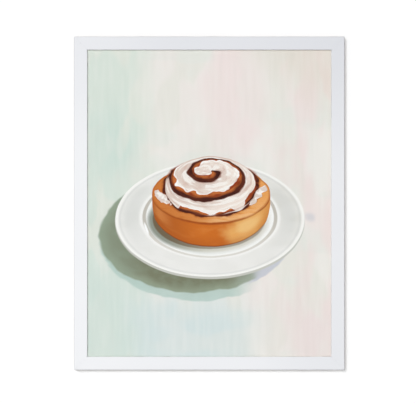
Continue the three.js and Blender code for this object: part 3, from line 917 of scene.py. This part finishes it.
# %% Glass
def picture_glass():
    material = bpy.data.materials.new("picture_glass")
    material.use_nodes = True
    tree = material.node_tree
    tree.nodes.clear()
    sketch = Sketch(tree)
    output = sketch.node("ShaderNodeOutputMaterial")
    clear = sketch.node("ShaderNodeBsdfTransparent")
    clear.inputs["Color"].default_value = (0.998, 1.0, 0.999, 1)
    mirror = sketch.node("ShaderNodeBsdfGlossy")
    haze = sketch.noise(sketch.place(), 14.0, detail=3.0)
    sketch.put(haze * 0.03 + 0.005, mirror.inputs["Roughness"])
    curve = sketch.node("ShaderNodeFresnel")
    curve.inputs["IOR"].default_value = 1.5
    side = sketch.node("ShaderNodeNewGeometry")
    shine = Field(sketch, curve.outputs[0]) * (1 - Field(sketch, side.outputs["Backfacing"]))
    mixed = sketch.node("ShaderNodeMixShader")
    sketch.put(shine, mixed.inputs[0])
    tree.links.new(clear.outputs[0], mixed.inputs[1])
    tree.links.new(mirror.outputs[0], mixed.inputs[2])
    tree.links.new(mixed.outputs[0], output.inputs["Surface"])
    return material


dress("glazing", picture_glass())
glass_low, glass_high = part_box("glazing")
print("glass:", round(1000 * (glass_high.y - glass_low.y), 2), "mm thick")

# %% [markdown]
# ## Scratches
#
# Boards and plated steel both pick up fine scratches. A scratch follows a level line of a stretched noise:
# where the noise is very near its middle value, a thin wandering line appears. Two such sets cross at an
# angle. The effect serves several materials, so it is one node group.

# %% Shared group: scratches
def scratches_group():
    tree = bpy.data.node_groups.new("scratches", "ShaderNodeTree")
    tree.interface.new_socket("Place", in_out="INPUT", socket_type="NodeSocketVector")
    for name, value in (("Lines per metre", 200.0), ("Width", 0.012)):
        socket = tree.interface.new_socket(name, in_out="INPUT", socket_type="NodeSocketFloat")
        socket.default_value = value
    tree.interface.new_socket("Scratches", in_out="OUTPUT", socket_type="NodeSocketFloat")
    sketch = Sketch(tree)
    given = sketch.node("NodeGroupInput")
    result = sketch.node("NodeGroupOutput")
    place, lines, width = (Field(sketch, given.outputs[i]) for i in range(3))
    total = 0.0
    for turn in (0.5, 2.1):
        turned = sketch.node("ShaderNodeMapping", vector_type="TEXTURE")
        sketch.put(place, turned.inputs["Vector"])
        turned.inputs["Rotation"].default_value = (0, turn, 0)
        turned.inputs["Scale"].default_value = (1, 1, 14)
        level = sketch.noise(Field(sketch, turned.outputs[0]), lines, detail=1.0)
        line = sketch.step(sketch.math("ABSOLUTE", level - 0.5), width, width * 0.3)
        total = line + total
    broken = sketch.step(sketch.noise(place, lines * 0.4, detail=1.0), 0.45, 0.62)
    sketch.put(sketch.math("MINIMUM", total * broken, 1.0), result.inputs["Scratches"])
    return tree


SCRATCHES = scratches_group()
print("shared group:", SCRATCHES.name, "with", len(SCRATCHES.nodes), "nodes")


def scratched(sketch, place, lines, width):
    node = sketch.node("ShaderNodeGroup", node_tree=SCRATCHES)
    for value, socket in zip((place, lines, width), node.inputs):
        sketch.put(value, socket)
    return Field(sketch, node.outputs["Scratches"])


# %% [markdown]
# ## The boards behind the print
#
# Foam board is a sheet of foamed plastic between two papers. Its faces are smooth and its cut edges show
# the foam's cells. Which is which follows from the direction that the surface faces.

# %% Foam board
def foam_core():
    material, sketch, shader = new_finish("foam_board")
    place = sketch.place()
    patches, grain = unevenness(sketch, place, 25.0, 900.0)
    cut_edge = sketch.step(sketch.math("ABSOLUTE", sketch.parts(sketch.facing())[1]), 0.6, 0.3)
    cells = {"Vector": place, "Scale": 1600.0}
    walls = sketch.make("ShaderNodeTexVoronoi", cells, feature="DISTANCE_TO_EDGE")
    bubbles = sketch.step(walls, 0.0, 0.12)
    paper = sketch.mix(patches, tint("EFEEE9"), tint("F6F5F1"))
    foam = sketch.mix(bubbles, tint("D2D4D5"), tint("F1F2F2"))
    sketch.put(sketch.mix(cut_edge, paper, foam), shader.inputs["Base Color"])
    sketch.put(0.75 + grain * 0.2, shader.inputs["Roughness"])
    sketch.put(sketch.bump(bubbles * cut_edge + grain * 0.3, 0.4, 0.0002), shader.inputs["Normal"])
    return material


dress("foam_board", foam_core())
foam_low, foam_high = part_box("foam_board")
print("foam board:", round(1000 * (foam_high.y - foam_low.y), 2), "mm thick")

# %% [markdown]
# The backing is hardboard: wood fibres pressed into a brown sheet, full of light and dark flecks. Where the
# tip of a turn button sweeps over it, the board is rubbed in fine arcs round the screw. The arcs come from
# the distance to each screw, so they lie right wherever the CAD model puts the screws.

# %% Hardboard
LABELS = [
    "top_left", "top_right", "bottom_left", "bottom_right",
    "left_lower", "left_upper", "right_lower", "right_upper",
]
RUB_START = 10.0  # how far from its screw, in mm, a button begins to rub the board
RUB_END = 24.0


def centre_of(node):
    low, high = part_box(node)
    return (low + high) / 2


def hardboard():
    material, sketch, shader = new_finish("hardboard")
    place = sketch.place()
    patches, grain = unevenness(sketch, place, 14.0, 2200.0)
    fibres = sketch.noise(sketch.scaled(place, (1100, 1100, 520)), 1.0, detail=3.0, distortion=1.5)
    flecks = sketch.noise(place, 1500.0, detail=3.0)
    brown = sketch.mix(sketch.step(fibres, 0.35, 0.65), tint("7F5A39"), tint("9A7148"))
    brown = sketch.mix(patches * 0.5, brown, tint("8A6A4C"))
    brown = sketch.mix(sketch.step(flecks, 0.58, 0.68) * 0.5, brown, tint("B88F60"))
    brown = sketch.mix(sketch.step(flecks, 0.40, 0.30) * 0.5, brown, tint("5C3E25"))

    board_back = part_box("backing_board")[1].y
    rubbed = 0.0
    for label in LABELS:
        pivot = centre_of("screw_" + label)
        span = sketch.node("ShaderNodeVectorMath", operation="DISTANCE")
        sketch.put(place, span.inputs[0])
        span.inputs[1].default_value = (pivot.x, board_back, pivot.z)
        away = Field(sketch, span.outputs["Value"]) * 1000  # in mm
        sweep = sketch.step(away, RUB_END, RUB_END - 2) * sketch.step(away, RUB_START, RUB_START + 4)
        rubbed = rubbed + sweep * 0.6
    arcs = rubbed * sketch.step(fibres + grain * 0.4, 0.55, 0.8)
    marks = scratched(sketch, place, 45.0, 0.004)
    brown = sketch.mix(arcs, brown, tint("B08C62"))
    brown = sketch.mix(marks * 0.35, brown, tint("C4A27A"))
    sketch.put(brown, shader.inputs["Base Color"])
    sketch.put(0.62 + grain * 0.25 - rubbed * 0.15, shader.inputs["Roughness"])
    sketch.put(sketch.bump(fibres * 0.5 + grain - marks * 0.6, 0.35, 0.0002), shader.inputs["Normal"])
    return material


dress("backing_board", hardboard())
print("arcs rubbed round", len(LABELS), "screws")

# %% [markdown]
# ## Metal finishes
#
# There are three: bright nickel on the turn buttons and their screws, brass plate on the hanger and its
# nails, and bare steel on the V-nails. All are one recipe with its own colours: metal with cloudy patches,
# where the surface is duller, and scratches that catch the light.

# %% Metal
def metal(name, bright, dull, roughness):
    material, sketch, shader = new_finish(name)
    place = sketch.place()
    patches, grain = unevenness(sketch, place, 260.0, 5000.0)
    marks = scratched(sketch, place, 1100.0, 0.010)
    cloudy = sketch.step(patches, 0.35, 0.70)
    colour = sketch.mix(cloudy, tint(bright), tint(dull))
    sketch.put(sketch.mix(marks * 0.18, colour, tint("F2F1EE")), shader.inputs["Base Color"])
    shader.inputs["Metallic"].default_value = 1.0
    sketch.put(roughness + cloudy * 0.16 + marks * 0.12, shader.inputs["Roughness"])
    sketch.put(sketch.bump(grain * 0.5 - marks, 0.15, 0.00005), shader.inputs["Normal"])
    return material


nickel = metal("nickel_plate", "D3D4D2", "B4B5B3", 0.24)
brass = metal("brass_plate", "D2AC5E", "A9803E", 0.28)
steel = metal("bare_steel", "A9A9A8", "7E7A76", 0.42)
for corner in ("top_left", "top_right", "bottom_left", "bottom_right"):
    dress(f"v_nail_{corner}_outer", steel)
    dress(f"v_nail_{corner}_inner", steel)
for node in ("hanger_nail_left", "hanger_nail_right"):
    dress(node, brass)
print("metals:", [finish.name for finish in (nickel, brass, steel)])

# %% [markdown]
# ## Growing hardware with Geometry Nodes
#
# The eight screws are one shape eight times, and so are the turn buttons. Geometry Nodes describe such a
# shape once, with its sizes as named inputs. Both shapes are built the same way: a stack of circles, each a
# bit smaller towards an edge, and the convex hull round them. That gives closed solids with rounded edges.
# Booleans then cut the recess or the hole.

# %% Helpers for the trees
def shape_tree(name, inputs):
    """An empty tree with named inputs. Gives its sketch, the inputs as fields, and its output node."""
    tree = bpy.data.node_groups.new(name, "GeometryNodeTree")
    kinds = {float: "NodeSocketFloat", int: "NodeSocketInt", tuple: "NodeSocketVector"}
    tree.interface.new_socket("Geometry", in_out="INPUT", socket_type="NodeSocketGeometry")
    for label, value in inputs.items():
        socket = tree.interface.new_socket(label, in_out="INPUT", socket_type=kinds[type(value)])
        socket.default_value = value
    tree.interface.new_socket("Geometry", in_out="OUTPUT", socket_type="NodeSocketGeometry")
    sketch = Sketch(tree)
    given = sketch.node("NodeGroupInput")
    fields = {label: Field(sketch, given.outputs[label]) for label in ("Geometry", *inputs)}
    return sketch, fields, sketch.node("NodeGroupOutput")


def ring(sketch, radius, depth, z=0.0, corners=28):
    """A circle that faces along Y, at that depth."""
    flat = sketch.make("GeometryNodeMeshCircle", {"Vertices": corners, "Radius": radius})
    return sketch.make("GeometryNodeTransform", {
        "Geometry": flat,
        "Translation": sketch.vector(0.0, depth, z),
        "Rotation": (math.pi / 2, 0, 0),
    })


def hull(sketch, rings):
    joined = sketch.node("GeometryNodeJoinGeometry")
    for one in rings:
        sketch.tree.links.new(one.socket, joined.inputs[0])
    return sketch.make("GeometryNodeConvexHull", {"Geometry": Field(sketch, joined.outputs[0])})


def combined(sketch, operation, first, others):
    node = sketch.node("GeometryNodeMeshBoolean", operation=operation, solver="EXACT")
    inputs = {socket.name: socket for socket in node.inputs if socket.enabled}
    if operation == "DIFFERENCE":
        sketch.put(first, inputs["Mesh 1"])
    else:
        sketch.tree.links.new(first.socket, node.inputs["Mesh 2"])
    for other in others:
        sketch.tree.links.new(other.socket, node.inputs["Mesh 2"])
    return Field(sketch, node.outputs[0])


def finish_tree(sketch, shape, material, result):
    whole = sketch.make("GeometryNodeRealizeInstances", {"Geometry": shape})
    dressed = sketch.make("GeometryNodeSetMaterial", {"Geometry": whole, "Material": material})
    sketch.put(dressed, result.inputs["Geometry"])


def grow(name, tree, values, start=()):
    """Runs a tree on a mesh of bare points, and keeps the result as a plain mesh."""
    mesh = bpy.data.meshes.new(name)
    mesh.from_pydata([tuple(point) for point in start], [], [])
    piece = bpy.data.objects.new(name, mesh)
    bpy.context.scene.collection.objects.link(piece)
    grower = piece.modifiers.new("grow", "NODES")
    grower.node_group = tree
    for item in tree.interface.items_tree:
        if item.in_out == "INPUT" and item.name in values:
            grower[item.identifier] = values[item.name]
    grown = piece.evaluated_get(bpy.context.evaluated_depsgraph_get())
    piece.data = bpy.data.meshes.new_from_object(grown)
    piece.modifiers.clear()
    piece.data.polygons.foreach_set("use_smooth", [True] * len(piece.data.polygons))
    piece.data.set_sharp_from_angle(angle=math.radians(40))
    return piece


# %% [markdown]
# A screw has a domed head with a cross recess. Its shank sits in the wood. Nobody lines up screws when
# driving them, so each one is turned by a random angle from a fixed seed.

# %% The screw's tree
def screw_tree():
    sketch, given, result = shape_tree("pan_head_screw", {
        "Head radius": 0.0035, "Head height": 0.0015, "Shank radius": 0.00175, "Length": 0.010, "Seed": 5,
    })
    head_radius, head_height = given["Head radius"], given["Head height"]
    rings = [ring(sketch, head_radius * 0.96, 0.0)]
    for step in range(7):
        bend = step / 6 * math.radians(86)
        rise = 0.3 + 0.7 * math.sin(bend)  # the lowest 0.3 of the head is its upright rim
        rings.append(ring(sketch, head_radius * math.cos(bend), head_height * rise))
    shank_end = given["Length"] * -0.75
    shank = hull(sketch, [
        ring(sketch, given["Shank radius"], head_height * 0.2, corners=16),
        ring(sketch, given["Shank radius"], shank_end, corners=16),
        ring(sketch, given["Shank radius"] * 0.08, given["Length"] * -1, corners=16),
    ])
    blades = []
    for turn in (0, math.pi / 2):
        block = sketch.make("GeometryNodeMeshCube", {
            "Size": sketch.vector(head_radius * 1.05, head_height, head_radius * 0.21),
        })
        blades.append(sketch.make("GeometryNodeTransform", {
            "Geometry": block,
            "Translation": sketch.vector(0.0, head_height, 0.0),
            "Rotation": (0, turn, 0),
        }))
    screw = combined(sketch, "UNION", hull(sketch, rings), [shank])
    screw = combined(sketch, "DIFFERENCE", screw, blades)
    spin = sketch.make("FunctionNodeRandomValue", {"Seed": given["Seed"]}, output=1, data_type="FLOAT")
    placed = sketch.make("GeometryNodeInstanceOnPoints", {
        "Points": given["Geometry"],
        "Instance": screw,
        "Rotation": sketch.vector(0.0, spin * math.pi, 0.0),
    })
    finish_tree(sketch, placed, nickel, result)
    return sketch.tree


# %% Where the screws go
screw_low, screw_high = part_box("screw_top_left")
HEAD_RADIUS = (screw_high.x - screw_low.x) / 2
SCREW_LENGTH = 0.010  # from under the head to the tip
HEAD_HEIGHT = screw_high.y - screw_low.y - SCREW_LENGTH
head_underside = screw_high.y - HEAD_HEIGHT
places = [centre_of("screw_" + label) for label in LABELS]
screws = grow("screws", screw_tree(), {
    "Head radius": HEAD_RADIUS, "Head height": HEAD_HEIGHT, "Length": SCREW_LENGTH,
}, start=[(place.x, head_underside, place.z) for place in places])
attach(screws, "frame")
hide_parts(*["screw_" + label for label in LABELS])
print("screws:", len(places), "with", len(screws.data.polygons), "faces")

# %% [markdown]
# A turn button is stamped from sheet steel: a round heel about the screw, a narrower round tip, and a
# shallow groove pressed into the arm to stiffen it. Stamping rounds the edges. Each button turns on its own
# screw, so each is a piece of its own and rides on its own body. Its arm points from the screw towards the
# middle of the CAD button.

# %% The turn button's tree
def turn_button_tree():
    sketch, given, result = shape_tree("turn_button", {
        "Heel radius": 0.0062, "Tip radius": 0.0042, "Arm": 0.019, "Thickness": 0.001,
        "Edge": 0.0003, "Hole radius": 0.00205, "Groove depth": 0.0003,
        "Pivot": (0.0, 0.0, 0.0), "Turn": 0.0,
    })
    thickness, edge, arm = given["Thickness"], given["Edge"], given["Arm"]
    rings = []
    for step in range(4):
        bend = step / 3 * math.pi / 2
        inset = edge * (1 - math.cos(bend))
        rise = edge * (1 - math.sin(bend))
        for radius, z in ((given["Heel radius"], 0.0), (given["Tip radius"], arm * -1)):
            rings.append(ring(sketch, radius - inset, thickness - rise, z, corners=40))
            rings.append(ring(sketch, radius - inset * 0.6, rise * 0.6, z, corners=40))
    plate = hull(sketch, rings)
    hole = hull(sketch, [
        ring(sketch, given["Hole radius"], thickness * -1, corners=24),
        ring(sketch, given["Hole radius"], thickness * 2, corners=24),
    ])
    floor_depth = thickness - given["Groove depth"]
    groove = hull(sketch, [
        ring(sketch, arm * width, depth, arm * along, corners=20)
        for along in (-0.44, -0.92)
        for width, depth in ((0.045, floor_depth), (0.085, thickness * 1.4))
    ])
    cut = combined(sketch, "DIFFERENCE", plate, [hole, groove])
    placed = sketch.make("GeometryNodeTransform", {
        "Geometry": cut,
        "Translation": given["Pivot"],
        "Rotation": sketch.vector(0.0, given["Turn"], 0.0),
    })
    finish_tree(sketch, placed, nickel, result)
    return sketch.tree


# %% Eight turn buttons
button_tree = turn_button_tree()
for label in LABELS:
    cad_name = "turn_button_" + label
    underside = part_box(cad_name)[0].y
    pivot = centre_of("screw_" + label)
    reach = centre_of(cad_name) - pivot
    button = grow(cad_name + "_plate", button_tree, {
        "Pivot": (pivot.x, underside, pivot.z),
        "Turn": math.atan2(-reach.x, -reach.z),
    })
    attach(button, cad_name)
    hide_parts(cad_name)
print("turn buttons:", len(LABELS), "with", len(button.data.polygons), "faces each")

# %% [markdown]
# ## The hanger
#
# The sawtooth hanger is stamped from brass-plated sheet. Its shape in the CAD model is right, but its edges
# are knife-sharp. To model it anew could only make its teeth less true, so a copy is merged into clean faces
# and gets a narrow bevel, which catches the light along each edge as a stamped edge does.
#
# Blender's bevel lists its new corners in another order each time. Sorting them by their place makes the
# piece come out the same in every run.

# %% A fixed order
def place_of(item):
    """Where a corner, an edge or a face lies, as something to sort by."""
    corners = getattr(item, "verts", [item])
    return sorted(tuple(corner.co) for corner in corners)


def sort_by_place(shape):
    for items in (shape.verts, shape.edges, shape.faces):
        for number, item in enumerate(sorted(items, key=place_of)):
            item.index = number
        items.sort()


# %% Hanger
def softened_copy(node, name, width):
    """A copy of a CAD node with its edges rounded a little."""
    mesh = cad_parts[node].data.copy()
    mesh.name = name
    shape = bmesh.new()
    shape.from_mesh(mesh)
    bmesh.ops.remove_doubles(shape, verts=shape.verts, dist=1e-6)
    bmesh.ops.dissolve_limit(shape, angle_limit=math.radians(1), verts=shape.verts, edges=shape.edges)
    sharp = [edge for edge in shape.edges if edge.calc_face_angle(0) > math.radians(30)]
    bmesh.ops.bevel(shape, geom=sharp, offset=width, offset_type="OFFSET", segments=2, profile=0.5,
                    affect="EDGES", clamp_overlap=True)
    bmesh.ops.triangulate(shape, faces=shape.faces)
    sort_by_place(shape)
    shape.to_mesh(mesh)
    shape.free()
    mesh.polygons.foreach_set("use_smooth", [True] * len(mesh.polygons))
    mesh.set_sharp_from_angle(angle=math.radians(35))
    copy = bpy.data.objects.new(name, mesh)
    bpy.context.scene.collection.objects.link(copy)
    return copy


hanger = softened_copy("sawtooth_hanger", "sawtooth_plate", 0.00012)
hanger.data.materials.clear()
hanger.data.materials.append(brass)
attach(hanger, "frame")
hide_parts("sawtooth_hanger")
print("hanger faces:", len(hanger.data.polygons))

# %% [markdown]
# ## The bumpers
#
# The two pads at the bottom corners are punched from thick pressed felt. Felt has no weave: short hairs lie
# every way. Strands would be far too many for two small pads, so a stretched noise stands in for them. A pad
# is turned from its section, and two waves that run round it push its skin in and out a little, so that its
# outline is soft and not a machined one. Sheen gives the pale fuzz along its rim.

# %% Felt
def pressed_felt():
    material, sketch, shader = new_finish("felt")
    place = sketch.place()
    patches, grain = unevenness(sketch, place, 500.0, 6000.0)
    hairs = sketch.noise(sketch.scaled(place, (2200, 2200, 900)), 1.0, detail=3.0, distortion=2.0)
    wool = sketch.mix(patches, tint("D3D0CA"), tint("E2E0DB"))
    wool = sketch.mix(sketch.step(hairs, 0.55, 0.7) * 0.5, wool, tint("F3F2EF"))
    wool = sketch.mix(sketch.step(hairs, 0.42, 0.3) * 0.4, wool, tint("A9A6A0"))
    sketch.put(wool, shader.inputs["Base Color"])
    shader.inputs["Roughness"].default_value = 0.95
    shader.inputs["Sheen Weight"].default_value = 0.5
    shader.inputs["Specular IOR Level"].default_value = 0.2
    sketch.put(sketch.bump(hairs + grain * 0.5, 0.7, 0.0003), shader.inputs["Normal"])
    return material


# %% The pads
def felt_pad(node, name):
    low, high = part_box(node)
    middle_x, middle_z = (low.x + high.x) / 2, (low.z + high.z) / 2
    radius = (high.x - low.x) / 2
    thickness = high.y - low.y
    rim = 0.0007  # how far the round of its edge reaches in
    fuzz_height = 0.00006
    half = [(0.5, 0.0), (0.85, 0.0), (0.97, 0.25 * rim), (1.0, rim)]
    other_half = [(share, thickness - depth) for share, depth in reversed(half)]
    section = half + [(1.0, thickness / 2)] + other_half
    turns = 48
    shape = bmesh.new()
    rings = []
    for share, depth in section:
        circle = []
        for turn in range(turns):
            angle = 2 * math.pi * turn / turns
            fuzz = fuzz_height * math.sin(7 * angle + 900 * depth) * math.sin(3 * angle + 1)
            reach = radius * share - fuzz_height + fuzz * share
            x = middle_x + reach * math.cos(angle)
            z = middle_z + reach * math.sin(angle)
            circle.append(shape.verts.new((x, low.y + depth, z)))
        rings.append(circle)
    ends = [shape.verts.new((middle_x, low.y + depth, middle_z)) for depth in (0.0, thickness)]
    for turn in range(turns):
        after = (turn + 1) % turns
        shape.faces.new((ends[0], rings[0][turn], rings[0][after]))
        shape.faces.new((ends[1], rings[-1][after], rings[-1][turn]))
        for inner, outer in zip(rings, rings[1:]):
            shape.faces.new((inner[turn], outer[turn], outer[after], inner[after]))
    bmesh.ops.recalc_face_normals(shape, faces=shape.faces)
    mesh = bpy.data.meshes.new(name)
    shape.to_mesh(mesh)
    shape.free()
    mesh.polygons.foreach_set("use_smooth", [True] * len(mesh.polygons))
    pad = bpy.data.objects.new(name, mesh)
    bpy.context.scene.collection.objects.link(pad)
    return pad


felt = pressed_felt()
for side in ("left", "right"):
    pad = felt_pad("bumper_" + side, "felt_pad_" + side)
    pad.data.materials.append(felt)
    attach(pad, "frame")
    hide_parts("bumper_" + side)
print("felt pads: 2, with", len(pad.data.polygons), "faces each")
